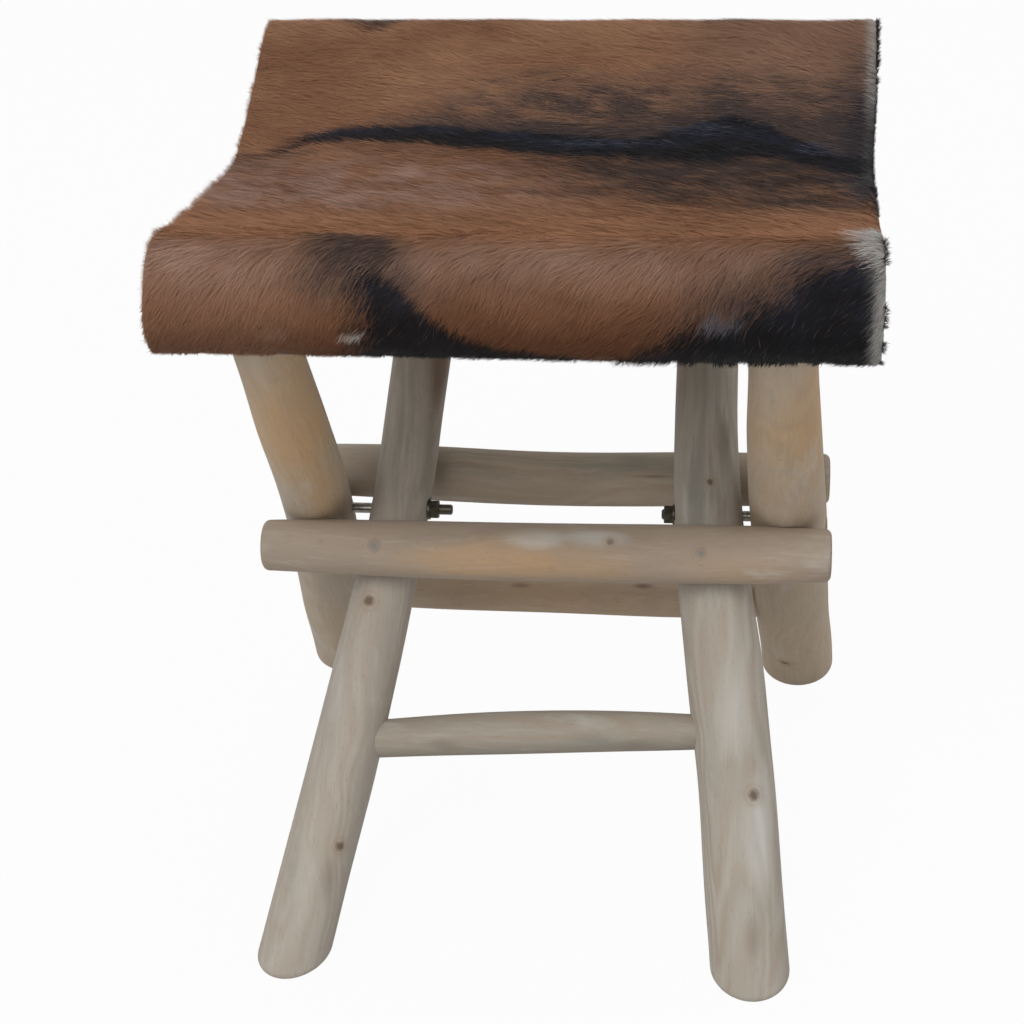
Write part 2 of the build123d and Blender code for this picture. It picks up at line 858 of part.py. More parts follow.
def roll_arc(side, radius, slope):
    """One face of the hide round a seat rail, from the sling to its end below."""
    start = roll_point(side, radius, 90 - slope)
    middle = roll_point(side, radius, 180)
    end = roll_point(side, radius, 360 - hide_end_angle)
    return ThreePointArc(start, middle, end)


tack_pockets = []
for side in (outer, inner):
    for seat, into in tack_line(side):
        hole_start = seat - into * overrun
        hole = rod(hole_start, into, overrun * 2, tack_shank_diameter + tack_clearance * 2)
        pocket_width = tack_head_diameter + tack_clearance * 2
        pocket = rod(hole_start, into, overrun + tack_clearance, pocket_width)
        tack_pockets.extend([hole, pocket])

with BuildPart() as hide_seat:
    with BuildSketch(Plane.YZ.offset(hide_left_x)):
        with BuildLine():
            front_outer = roll_arc(outer, hide_outer_radius, sling_front_slope)
            sling_edge(hide_outer_radius, 0)
            back_outer = roll_arc(inner, hide_outer_radius, sling_back_slope)
            back_inner = roll_arc(inner, hide_inner_radius, sling_back_slope)
            sling_edge(hide_inner_radius, hide_thickness)
            front_inner = roll_arc(outer, hide_inner_radius, sling_front_slope)
            Line(front_outer @ 1, front_inner @ 1)
            Line(back_outer @ 1, back_inner @ 1)
        make_face()
    extrude(amount=hide_back_right_x - hide_left_x)
    with BuildSketch(Plane.XY):
        front_line = -rail_depth - hide_outer_radius - overrun
        back_line = rail_depth + hide_outer_radius
        waist_line = between(-rail_depth, rail_depth, hide_waist_share)
        with BuildLine():
            Line((hide_left_x, front_line), (hide_front_right_x, front_line))
            right_edge = Spline(
                (hide_front_right_x, front_line),
                (hide_waist_right_x, waist_line),
                (hide_back_right_x, back_line),
            )
            Line(right_edge @ 1, (hide_left_x, back_line))
            Line((hide_left_x, back_line), (hide_left_x, front_line))
        make_face()
    extrude(amount=rail_height + seat_rail_diameter, mode=Mode.INTERSECT)
    add(tack_pockets, mode=Mode.SUBTRACT)
finish(hide_seat, "hide_seat")
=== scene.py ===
"""A folding stool of bleached branch wood, with a hair-on hide slung between its two seat rails."""

import math

import bpy
import numpy as np
from mathutils import Matrix, Vector


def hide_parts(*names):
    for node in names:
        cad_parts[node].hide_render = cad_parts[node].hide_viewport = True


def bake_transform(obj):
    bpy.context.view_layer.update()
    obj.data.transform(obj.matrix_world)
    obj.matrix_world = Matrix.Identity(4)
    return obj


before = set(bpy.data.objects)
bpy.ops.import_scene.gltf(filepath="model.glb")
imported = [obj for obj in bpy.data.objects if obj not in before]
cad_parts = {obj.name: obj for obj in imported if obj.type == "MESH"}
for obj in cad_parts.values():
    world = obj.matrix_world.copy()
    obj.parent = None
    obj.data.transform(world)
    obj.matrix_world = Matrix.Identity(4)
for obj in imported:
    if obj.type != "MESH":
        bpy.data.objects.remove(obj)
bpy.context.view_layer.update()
bpy.ops.object.select_all(action="DESELECT")

# ---------------------------------------------------------------- measures, in metres and degrees
LEG_LEAN = 36.6
RAIL_OUT, RAIL_HIGH = 0.15061, 0.41651  # the seat rails' middles
COAT_REACH = 0.0300  # from a rail's middle to the outside of the hair
CAD_REACH = 0.0305
SLING_SAG = 0.0376
FRONT_SLOPE, BACK_SLOPE = 18.0, 19.0
WRAP_END = 113.0  # degrees below the seat side's level
WRAP_POINTS = 37
SLING = (
    (0.11, 0.27), (0.22, 0.47), (0.33, 0.63), (0.44, 0.79), (0.54, 0.93),
    (0.63, 1.0), (0.72, 0.84), (0.85, 0.47), (0.93, 0.22),
)  # shares of the way across and of the sag
HIDE_LEFT = -0.1756
HIDE_BACK_RIGHT, HIDE_WAIST_RIGHT, HIDE_FRONT_RIGHT = 0.1774, 0.1712, 0.1674
LEATHER_TOP, LEATHER_BOTTOM = -0.0024, -0.0046  # against the outside of the hair
HAIR_ROOT = -0.0022
SHORTEST_HAIR = 0.0012
SWELL = 0.0004
SEAT_START, SEAT_END = 0.125, 0.345  # along the hide, where one close coat ends and the next begins
COAT_INSET = 0.0006
MILLI = 1000  # the coat's markings are placed in millimetres


# ---------------------------------------------------------------- nodes
def add_node(tree, kind, sockets=(), out=0, stops=(), **settings):
    """A node with its settings made first, then its sockets, and one of its outputs."""
    node = tree.nodes.new(kind)
    for setting, value in settings.items():
        setattr(node, setting, value)
    if stops:
        ramp = node.color_ramp
        while len(ramp.elements) < len(stops):
            ramp.elements.new(0.5)
        for element, (place, level) in zip(ramp.elements, stops):
            element.position = place
            element.color = (level, level, level, 1)
    for socket, value in dict(sockets).items():
        if isinstance(value, Wire):
            tree.links.new(value.socket, node.inputs[socket])
        else:
            node.inputs[socket].default_value = value
    return Wire(tree, node.outputs[out])


class Wire:
    """A socket that takes part in sums."""

    def __init__(self, tree, socket):
        self.tree = tree
        self.socket = socket

    def node(self, kind, sockets=(), out=0, **settings):
        return add_node(self.tree, kind, sockets, out, **settings)

    def __add__(self, other):
        return maths("ADD", self, other)

    def __radd__(self, other):
        return maths("ADD", other, self)

    def __sub__(self, other):
        return maths("SUBTRACT", self, other)

    def __rsub__(self, other):
        return maths("SUBTRACT", other, self)

    def __mul__(self, other):
        return maths("MULTIPLY", self, other)

    def __rmul__(self, other):
        return maths("MULTIPLY", other, self)

    def __truediv__(self, other):
        return maths("DIVIDE", self, other)

    def __abs__(self):
        return maths("ABSOLUTE", self)

    def clamp(self):
        return self.node("ShaderNodeClamp", {0: self})

    def rise(self, low, high):
        """0 below low, 1 above high and smooth between, or the other way round if high is lower."""
        ends = {0: self, 1: low, 2: high, 3: 0.0, 4: 1.0}
        if low > high:
            ends.update({1: high, 2: low, 3: 1.0, 4: 0.0})
        return self.node("ShaderNodeMapRange", ends, interpolation_type="SMOOTHSTEP")


def tree_of(*values):
    return next(value.tree for value in values if isinstance(value, Wire))


def maths(operation, *values):
    return add_node(tree_of(*values), "ShaderNodeMath", enumerate(values), operation=operation)


def vectors(operation, *values, out=0):
    tree = tree_of(*values)
    return add_node(tree, "ShaderNodeVectorMath", enumerate(values), out, operation=operation)


def waves(turn):
    """A sine between 0 and 1."""
    return maths("SINE", turn) * 0.5 + 0.5


def srgb(red, green, blue):
    def linear(level):
        level /= 255
        return level / 12.92 if level <= 0.04045 else ((level + 0.055) / 1.055) ** 2.4

    return (linear(red), linear(green), linear(blue), 1.0)


def mixed(share, first, second):
    """Two colours mixed: share of the second."""
    tree = tree_of(share, first, second)
    sockets = {0: share, 6: first, 7: second}
    return add_node(tree, "ShaderNodeMix", sockets, out=2, data_type="RGBA")


def layered(colour, *layers):
    """Tones laid over a colour one after another, each a share and its red, green and blue."""
    for share, tone in layers:
        colour = mixed(share, colour, srgb(*tone))
    return colour


def noise(place, scale, detail=3.0, roughness=0.5, distortion=0.0, out="Fac"):
    sockets = {"Vector": place, "Scale": scale, "Detail": detail, "Roughness": roughness}
    return place.node("ShaderNodeTexNoise", {**sockets, "Distortion": distortion}, out=out)


def scaled(place, *times):
    return vectors("MULTIPLY", place, times)


def parts_of(vector):
    outputs = vector.node("ShaderNodeSeparateXYZ", {0: vector}).socket.node.outputs
    return [Wire(vector.tree, output) for output in outputs]


def joined(*parts):
    return add_node(tree_of(*parts), "ShaderNodeCombineXYZ", enumerate(parts))


def profile(source, start, end, stops):
    """A value that changes from stop to stop along a source that runs from start to end."""
    low = min(value for _, value in stops)
    high = max(value for _, value in stops)
    length, height = end - start, high - low
    levels = [((place - start) / length, (value - low) / height) for place, value in stops]
    share = (source - start) / length
    return share.node("ShaderNodeValToRGB", {0: share}, stops=levels) * height + low


def new_material(name):
    material = bpy.data.materials.new(name)
    material.use_nodes = True
    material.node_tree.nodes.clear()
    return material, material.node_tree


def on_object(tree):
    return add_node(tree, "ShaderNodeTexCoord", out="Object")


def to_output(shader, kind="ShaderNodeOutputMaterial"):
    shader.tree.links.new(shader.socket, shader.tree.nodes.new(kind).inputs[0])


def surface(tree, **sockets):
    """The material's shader. A socket's name has _ for each space."""
    named = {name.replace("_", " "): value for name, value in sockets.items()}
    to_output(add_node(tree, "ShaderNodeBsdfPrincipled", named))


def bumped(height, strength, distance):
    sockets = {"Height": height, "Strength": strength, "Distance": distance}
    return height.node("ShaderNodeBump", sockets)


# ---------------------------------------------------------------- wood
def wood(
    name, lean=None, seed=0.0, golden=(), stains_and_shade=(), greyed=(), chalky=(), knots=(),
    pale=(178, 169, 157), streaky=0.2, knot_tone=(84, 64, 52), hearts=None,
):
    """Bleached and sanded branch wood. The grain runs up a leaning leg, or along X for a rail.
    Golden, greyed and chalky zones, stains and painted shade are placed on the stool: a place, a
    reach, a strength and how many times longer they are along the grain. A knot is a place and a
    reach.
    hearts are the depth and height of a rail's heart at its left and right cut ends."""
    material, tree = new_material(name)
    here = on_object(tree)
    turn = (0, math.pi / 2, 0) if lean is None else (math.radians(lean), 0, 0)
    shift = (seed, 0, 0)
    upright = here.node("ShaderNodeMapping", {"Vector": here, "Rotation": turn, "Location": shift})
    sway = vectors("MULTIPLY_ADD", noise(upright, 13, 2, out="Color"), (0.016, 0.016, 0.0), upright)
    broad = noise(scaled(sway, 1, 1, 0.09), 46, 4, 0.55)
    fibre = noise(scaled(sway, 1, 1, 0.035), 520, 4, 0.6)
    figure = noise(scaled(sway, 1, 1, 0.16), 20, 2, 0.4, 0.3)
    pores = noise(scaled(sway, 1, 1, 0.12), 1300, 2, 0.5)
    veins = noise(scaled(sway, 1, 1, 0.03), 150, 3, 0.5)
    cloud = noise(scaled(upright, 1, 1, 0.45), 34, 4, 0.6)
    chalk = noise(scaled(upright, 1.2, 1.2, 0.4), 24, 4, 0.62, 0.3)
    lines = waves(figure * 90)
    grain = Matrix.Rotation(turn[1], 3, "Y") @ Matrix.Rotation(turn[0], 3, "X")

    def zone(places):
        """How much of a tone there is here, with a ragged edge."""
        total = 0.0
        for place, reach, strength, *longer in places:
            middle = grain @ Vector(place) + Vector(shift)
            shorter = 1 / (longer or [3])[0]
            away = scaled(vectors("SUBTRACT", upright, middle), 1, 1, shorter)
            away = vectors("LENGTH", away, out="Value")
            ragged = away / reach + (cloud - 0.5) * 1.3 + (broad - 0.5) * 1.3
            total = total + ragged.rise(1.3, 0.2) * strength
        return total.clamp() if places else 0.0

    grey = zone(greyed)
    colour = layered(
        mixed(broad.rise(0.32, 0.68), srgb(*(level * 0.93 for level in pale)), srgb(*pale)),
        (zone(golden), (190, 154, 112)),
        (cloud.rise(0.54, 0.74) * 0.3, (146, 134, 119)),
        (chalk.rise(0.55, 0.72) * 0.5, (196, 193, 184)),
        (lines * streaky * broad.rise(0.3, 0.6), (150, 130, 108)),
        (fibre.rise(0.5, 0.72) * 0.15, (140, 125, 106)),
        (fibre.rise(0.46, 0.3) * 0.13, (204, 197, 184)),
        (pores.rise(0.62, 0.74) * 0.3, (116, 98, 80)),
        (grey * veins.rise(0.36, 0.62), (128, 127, 116)),
        (grey * veins.rise(0.46, 0.3) * 0.55, (98, 84, 72)),
        (zone(chalky) * (lines * 0.5 + 0.5), (204, 203, 197)),
        # darker: stains, and painted shade on the inner legs' upper parts
        (zone(stains_and_shade), (112, 92, 76)),
    )
    for place, reach in knots:
        away = vectors("DISTANCE", here, place, out="Value")
        mark = away / reach + (noise(here, 420, 2) - 0.5) * 0.9
        colour = layered(
            colour,
            (mark.rise(3.2, 0.9) * 0.3, (158, 134, 108)),
            (mark.rise(2.3, 1.0) * waves(mark * 8.0) * 0.3, (120, 98, 76)),
            (mark.rise(1.15, 0.4) * 0.8, knot_tone),
        )
    if hearts:
        colour = end_grain(colour, here, broad, hearts, shift)
    normal = bumped(fibre * 0.5 + broad * 0.5 - pores.rise(0.6, 0.74) * 0.6, 0.25, 0.0005)
    surface(tree, Base_Color=colour, Roughness=0.66 + fibre * 0.16, Normal=normal)
    return material


def end_grain(colour, here, broad, hearts, shift):
    """Rings and fine cracks about the heart, on a rail's two cut ends alone."""
    (left_y, left_z), (right_y, right_z) = hearts
    x, y, z = parts_of(here)
    right = x.rise(-0.01, 0.01)
    heart_y, heart_z = right * (right_y - left_y) + left_y, right * (right_z - left_z) + left_z
    outwards = joined(0.0, y - heart_y, z - heart_z)
    away = vectors("LENGTH", outwards, out="Value")
    facing = parts_of(add_node(here.tree, "ShaderNodeNewGeometry", out="Normal"))[0]
    cut = abs(facing).rise(0.6, 0.9)
    rings = waves((away + noise(here, 45, 2) * 0.012) * 2600)
    ray = abs(noise(vectors("ADD", vectors("NORMALIZE", outwards), shift), 1.3, 1) - 0.5)
    crack = ray.rise(0.010, 0.003) * away.rise(0.002, 0.005) * away.rise(0.022, 0.014)
    return layered(
        colour,
        (cut * (0.3 + rings * (broad * 0.4)), (132, 110, 88)),
        (cut * away.rise(0.0035, 0.0012) * 0.6, (104, 80, 60)),
        (cut * crack * 0.6, (84, 66, 52)),
    )


def steel(name, tone, rough, dull=None):
    """Plated steel with faint wear, and a duller tone between the inner legs."""
    material, tree = new_material(name)
    here = on_object(tree)
    wear = noise(here, 350, 4, 0.6)
    rings = noise(scaled(here, 0.2, 1, 1), 900, 2)
    colour = mixed(wear.rise(0.4, 0.7), srgb(*tone), srgb(*(level * 0.72 for level in tone)))
    inside = 0.0
    if dull:
        inside = abs(parts_of(here)[0]).rise(0.0748, 0.0742)
        colour = mixed(inside, colour, srgb(*dull))
    roughness = rough + wear * 0.2 + inside * 0.12
    normal = bumped(rings, 0.2, 0.0002)
    surface(tree, Base_Color=colour, Metallic=1.0, Roughness=roughness, Normal=normal)
    return material


def dress(material, *nodes):
    """CAD nodes keep their own surfaces and get a new finish."""
    for node in nodes:
        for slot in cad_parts[node].material_slots:
            slot.material = material


WOODS = {
    "outer_leg_left": dict(
        lean=-LEG_LEAN, seed=0.3, pale=(184, 168, 148),
        golden=(
            ((-0.126, -0.10, 0.32), 0.028, 0.9), ((-0.124, -0.04, 0.24), 0.016, 0.4),
            ((-0.15, 0.12, 0.05), 0.03, 0.35),
        ),
        stains_and_shade=(((-0.118, -0.02, 0.215), 0.008, 0.3),),
        knots=(((-0.147, -0.125, 0.345), 0.0016),),
    ),
    "outer_leg_right": dict(
        lean=-LEG_LEAN, seed=1.7, pale=(186, 167, 144),
        golden=(((0.134, -0.10, 0.325), 0.026, 0.85), ((0.13, -0.06, 0.26), 0.016, 0.3)),
        stains_and_shade=(((0.128, -0.025, 0.224), 0.006, 0.35),),
        knots=(((0.1369, 0.099, 0.0358), 0.0030),),
    ),
    "inner_leg_left": dict(
        lean=LEG_LEAN, seed=3.1, streaky=0.3,
        stains_and_shade=(
            # the broad second zone is painted shade on the leg's upper part, the others are stains
            ((-0.0691, 0.0387, 0.2759), 0.009, 0.7), ((-0.08, 0.05, 0.29), 0.03, 0.3),
            ((-0.12, -0.10, 0.09), 0.006, 0.3), ((-0.121, -0.142, 0.046), 0.007, 0.4),
            ((-0.112, -0.068, 0.145), 0.022, 0.14),
        ),
        greyed=(((-0.083, 0.02, 0.255), 0.024, 0.6),),
        chalky=(((-0.122, -0.075, 0.135), 0.008, 0.35), ((-0.135, -0.14, 0.05), 0.010, 0.3)),
        knots=(((-0.1045, -0.0468, 0.1728), 0.0034), ((-0.1163, -0.1282, 0.0599), 0.0028)),
    ),
    "inner_leg_right": dict(
        lean=LEG_LEAN, seed=4.4, streaky=0.45, pale=(180, 172, 160),
        stains_and_shade=(
            # the broad second zone is painted shade on the leg's upper part, the first is a stain
            ((0.0945, 0.0117, 0.2495), 0.006, 0.4), ((0.088, 0.05, 0.29), 0.03, 0.25),
            ((0.117, -0.158, 0.03), 0.005, 0.4),
        ),
        greyed=(((0.088, 0.015, 0.255), 0.026, 0.8),),
        chalky=(((0.121, -0.118, 0.075), 0.012, 0.75), ((0.104, -0.08, 0.13), 0.010, 0.5)),
        knots=(((0.1162, -0.1096, 0.0918), 0.0034), ((0.0878, -0.005, 0.2316), 0.0020)),
    ),
    "front_stop_rail": dict(
        seed=5.2, streaky=0.12, pale=(163, 147, 130), knot_tone=(112, 100, 90),
        golden=(
            ((-0.03, -0.056, 0.208), 0.016, 0.75), ((0.02, -0.056, 0.204), 0.014, 0.5),
            ((0.1, -0.06, 0.206), 0.014, 0.25),
        ),
        chalky=(((-0.008, -0.050, 0.2195), 0.007, 0.65), ((0.026, -0.050, 0.2205), 0.006, 0.6)),
        knots=(((-0.1285, -0.0517, 0.2150), 0.0011), ((0.0339, -0.0529, 0.2201), 0.0022)),
        stains_and_shade=(((0.01, -0.056, 0.21), 0.03, 0.14),),
        hearts=((-0.0388, 0.2062), (-0.0462, 0.2084)),
    ),
    "back_stop_rail": dict(
        seed=6.9, streaky=0.35, pale=(172, 157, 139),
        stains_and_shade=(
            ((0.052, 0.031, 0.2135), 0.0013, 0.9, 14), ((-0.09, 0.03, 0.219), 0.004, 0.4),
            ((-0.02, 0.03, 0.196), 0.02, 0.25),
        ),
        greyed=(((0.04, 0.036, 0.224), 0.014, 0.8, 5), ((-0.05, 0.036, 0.224), 0.013, 0.7, 5)),
        hearts=((0.0455, 0.2060), (0.0436, 0.2071)),
    ),
    "front_stretcher": dict(
        seed=7.7, streaky=0.25, pale=(158, 149, 136),
        stains_and_shade=(((0.05, -0.09, 0.105), 0.005, 0.4), ((-0.06, -0.088, 0.104), 0.004, 0.4)),
        greyed=(((0.03, -0.088, 0.108), 0.008, 0.6),),
    ),
    "back_stretcher": dict(
        seed=8.5, streaky=0.25, pale=(182, 163, 142), golden=(((0.0, 0.07, 0.105), 0.03, 0.35),),
        stains_and_shade=(((0.0462, 0.0761, 0.1074), 0.0026, 0.9), ((-0.03, 0.0735, 0.108), 0.0022, 0.7)),
    ),
    "front_seat_rail": dict(
        seed=9.1, pale=(180, 164, 144), hearts=((-0.1485, 0.4180), (-0.1522, 0.4155))
    ),
    "back_seat_rail": dict(
        seed=2.2, pale=(180, 164, 144), hearts=((0.1530, 0.4170), (0.1490, 0.4150))
    ),
}
for node, look in WOODS.items():
    dress(wood(node + "_wood", **look), node)
plug = wood(
    "plug_wood", lean=0, seed=3.3, pale=(162, 148, 133), streaky=0.3, knot_tone=(122, 117, 114),
    knots=(
        ((-0.0976, -0.0540, 0.2146), 0.0036), ((0.0838, -0.0585, 0.2180), 0.0030),
        ((-0.1407, 0.0565, 0.2160), 0.0030), ((0.1335, 0.0570, 0.2160), 0.0030),
    ),
)
dress(plug, "front_stop_rail_plugs", "back_stop_rail_plugs")
dress(
    steel("bright_steel", (138, 134, 124), 0.28, dull=(86, 82, 72)),
    "pivot_bolt_left", "pivot_bolt_right", "bolt_head_washers", "pivot_washers",
    "front_stop_rail_screws", "back_stop_rail_screws",
    "front_seat_rail_screws", "back_seat_rail_screws",
)
dress(
    steel("dulled_steel", (84, 80, 70), 0.42),
    "pivot_nuts", "front_hide_tacks", "back_hide_tacks",
)


# ---------------------------------------------------------------- the hide's line, from hem to hem
def roll_point(side, reach, angle):
    turn = math.radians(angle)
    return (side * (RAIL_OUT - reach * math.cos(turn)), RAIL_HIGH + reach * math.sin(turn))


def hide_line():
    """Points of the outside of the hair, from the front hem, over both rails, to the back hem."""
    below = 360 - WRAP_END
    front, back = 90 - FRONT_SLOPE, 90 - BACK_SLOPE
    points = [roll_point(-1, COAT_REACH, angle) for angle in np.linspace(below, front, WRAP_POINTS)]
    start, end = roll_point(-1, CAD_REACH, front), roll_point(1, CAD_REACH, back)
    for share, sag in SLING:
        across = start[0] + (end[0] - start[0]) * share
        points.append((across, start[1] - sag * SLING_SAG - (CAD_REACH - COAT_REACH)))
    points += [roll_point(1, COAT_REACH, angle) for angle in np.linspace(back, below, WRAP_POINTS)]
    return np.array(points)


LINE = hide_line()
LINE_S = np.r_[0, np.cumsum(np.linalg.norm(np.diff(LINE, axis=0), axis=1))]
LINE_SLOPE = np.gradient(LINE, LINE_S, axis=0)
HIDE_LONG = LINE_S[-1]


def on_hide(x, s, height):
    """The place of a point x across and s along the hide, height above the outside of its hair.
    A smooth curve joins the line's points, and goes straight on past its ends."""
    inside = np.clip(s, 0, HIDE_LONG)
    span = np.clip(np.searchsorted(LINE_S, inside, side="right") - 1, 0, len(LINE_S) - 2)
    step = (LINE_S[span + 1] - LINE_S[span])[:, None]
    u = ((inside - LINE_S[span])[:, None]) / step
    p, q, a, b = LINE[span], LINE[span + 1], LINE_SLOPE[span], LINE_SLOPE[span + 1]
    place = (2 * u**3 - 3 * u**2 + 1) * p + (u**3 - 2 * u**2 + u) * step * a
    place += (3 * u**2 - 2 * u**3) * q + (u**3 - u**2) * step * b
    along = (6 * u**2 - 6 * u) * (p - q) / step
    along = along + (3 * u**2 - 4 * u + 1) * a + (3 * u**2 - 2 * u) * b
    along /= np.linalg.norm(along, axis=1)[:, None]
    place += along * (s - inside)[:, None]
    out = np.stack([-along[:, 1], along[:, 0]], 1)
    place = place + out * height[:, None]
    return np.stack([x, place[:, 0], place[:, 1]], 1)


def right_edge(s):
    """The hide's right edge, which draws in over the seat."""
    share = np.clip(s / HIDE_LONG, 0, 1)
    places = [0, 0.18, 0.36, 0.6, 0.70, 0.82, 1]
    edge = [
        HIDE_FRONT_RIGHT, HIDE_FRONT_RIGHT + 0.0004,
        HIDE_WAIST_RIGHT - 0.0016, HIDE_WAIST_RIGHT + 0.0014,
        HIDE_BACK_RIGHT - 0.0018, HIDE_BACK_RIGHT - 0.0002, HIDE_BACK_RIGHT,
    ]
    return np.interp(share, places, edge)


def left_edge(s):
    """The hide's left edge, a little further out over the seat and under the front roll."""
    return HIDE_LEFT - np.interp(
        s,
        [0, 0.028, 0.050, 0.100, 0.125, 0.170, 0.285, 0.330, 0.400, 0.476],
        [0.0018, 0.0014, 0.0, 0.0004, 0.0014, 0.0022, 0.0022, 0.0013, 0.0010, 0.0008],
    )


def hem(x, seed):
    """How far a hem draws back from the hide's full length."""
    slow = 0.0012 * np.sin(x * 61 + seed) * np.sin(x * 23 + seed * 2)
    return 0.0012 + slow + 0.0008 * np.sin(x * 171 + seed)


def hem_front(x):
    return hem(x, 1.0) + 0.0035 * np.clip((0.09 - x) / 0.2, 0, 1)


def hem_back(x):
    return HIDE_LONG - hem(x, 4.0)


def smooth(u):
    u = np.clip(u, 0, 1)
    return u * u * (3 - 2 * u)


def pressed(x, s):
    """Where the coat lies flatter, along the front hem at the left and at the right corner."""
    under = smooth((0.062 - s) / 0.034)
    return under * np.interp(x, [-0.165, -0.05, 0.02, 0.04, 0.10, 0.15], [1, 1, 0.8, 0, 0, 0.8])


class Waves:
    """A slow seeded wander over the hide."""

    def __init__(self, seed, count, length):
        draw = np.random.default_rng(seed)
        turn = draw.uniform(0, 2 * np.pi, count)
        size = 2 * np.pi / (length * draw.uniform(0.6, 1.7, count))
        self.across, self.along = np.cos(turn) * size, np.sin(turn) * size
        self.start = draw.uniform(0, 2 * np.pi, count)

    def at(self, x, s):
        total = sum(
            np.sin(a * x + b * s + c) for a, b, c in zip(self.across, self.along, self.start)
        )
        return total / math.sqrt(len(self.start))


swell = Waves(3, 7, 0.07)
swirl = Waves(5, 8, 0.09)
ruffle = Waves(6, 10, 0.022)


def swollen(x, s):
    """How far the hide stands out here."""
    return SWELL * swell.at(x, s)


def mesh_object(name, points, faces, attributes, materials, material_of=None):
    """A piece from its points and faces, with vector attributes on its points."""
    mesh = bpy.data.meshes.new(name)
    mesh.from_pydata(points, [], faces)
    for title, values in attributes.items():
        attribute = mesh.attributes.new(title, "FLOAT_VECTOR", "POINT")
        attribute.data.foreach_set("vector", np.asarray(values, np.float32).ravel())
    for material in materials:
        mesh.materials.append(material)
    if material_of is not None:
        mesh.polygons.foreach_set("material_index", material_of)
    mesh.polygons.foreach_set("use_smooth", [True] * len(mesh.polygons))
    mesh.update()
    piece = bpy.data.objects.new(name, mesh)
    bpy.context.scene.collection.objects.link(piece)
    return piece


# ---------------------------------------------------------------- the coat's colours
class Lay:
    """The flat hide in millimetres, x across and s along, and what varies over it and in each hair.
    first and second are a hair's own random levels, and along runs from its root to its tip."""

    def __init__(self, tree):
        lay = add_node(tree, "ShaderNodeAttribute", attribute_name="lay", out="Vector")
        hair = add_node(tree, "ShaderNodeAttribute", attribute_name="hair", out="Vector")
        self.first, self.second, self.along = parts_of(hair)
        flat_x, flat_s, self.fringe = parts_of(lay)
        wander_x, wander_s, _ = parts_of(noise(lay, 38, 3, 0.6, out="Color"))
        self.flat_x = flat_x * MILLI
        self.x = self.flat_x + (self.first - 0.5) * 8 + (wander_x - 0.5) * 12
        self.s = flat_s * MILLI + (self.second - 0.5) * 3 + (wander_s - 0.5) * 7
        self.place = self.flat_x + (wander_x - 0.5) * 10, flat_s * MILLI + (wander_s - 0.5) * 8
        self.tone = noise(scaled(lay, 0.45, 1, 1), 20, 4, 0.6)
        self.streak = noise(scaled(lay, 0.3, 1, 1), 120, 3, 0.6)
        self.fleck = noise(scaled(lay, 0.5, 1, 1), 75, 4, 0.65)
        self.clump = noise(scaled(lay, 1, 0.6, 1), 55, 3, 0.6)

    def from_left(self, *stops):
        return profile(self.x, -190, 190, stops)

    def from_front(self, *stops):
        return profile(self.s, 0, 480, stops)

    def by_hairs(self, share, spread=0.8):
        """A marking that takes whole hairs, fewer of them where its share is smaller."""
        return (share + (self.first - 0.5) * spread).rise(0.38, 0.62)


def spot(place, middle_x, middle_s, wide, high):
    """A round marking, 1 inside."""
    away_x, away_s = (place[0] - middle_x) / wide, (place[1] - middle_s) / high
    return (away_x * away_x + away_s * away_s).rise(1.3, 0.4)


def brown_hair(lay):
    """Redder over the front roll's top, greyer on its front with a painted sheen and paler at its
    top left with a painted highlight, darker below with painted shade, and lighter up the back
    slope with painted light.
    """
    x, s, tone, clump = lay.x, lay.s, lay.tone, lay.clump
    front = s.rise(90, 66) * s.rise(40, 66) * (tone * 0.5 + clump * 0.5).rise(0.24, 0.62)
    pinkish = x.rise(40, -80) * s.rise(150, 185) * s.rise(290, 260) * clump.rise(0.35, 0.65)
    return layered(
        mixed(tone.rise(0.3, 0.7), srgb(123, 84, 59), srgb(155, 112, 84)),
        (lay.streak.rise(0.4, 0.75) * 0.35, (96, 63, 46)),
        (s.rise(70, 95) * s.rise(185, 135) * 0.5, (160, 113, 80)),
        # painted sheen: a greyish highlight band across the front roll, stronger at the left
        (front * (x.rise(-95, -130) * 0.34 + 0.6), (163, 135, 119)),
        # painted light up the back slope, where it faces up
        (s.rise(285, 330) * (0.25 + tone.rise(0.4, 0.7) * 0.35), (162, 122, 94)),
        # painted highlight at the front roll's top left
        (x.rise(-80, -125) * s.rise(84, 66) * 0.22, (190, 150, 126)),
        (pinkish * 0.65, (166, 138, 125)),
        # painted shade over the front roll's lower part, towards the hem
        (s.rise(66, 14) * (0.88 - x.rise(-90, -125) * 0.24), (92, 55, 31)),
        (x.rise(30, 110) * s.rise(300, 330) * 0.3, (132, 112, 102)),
    )


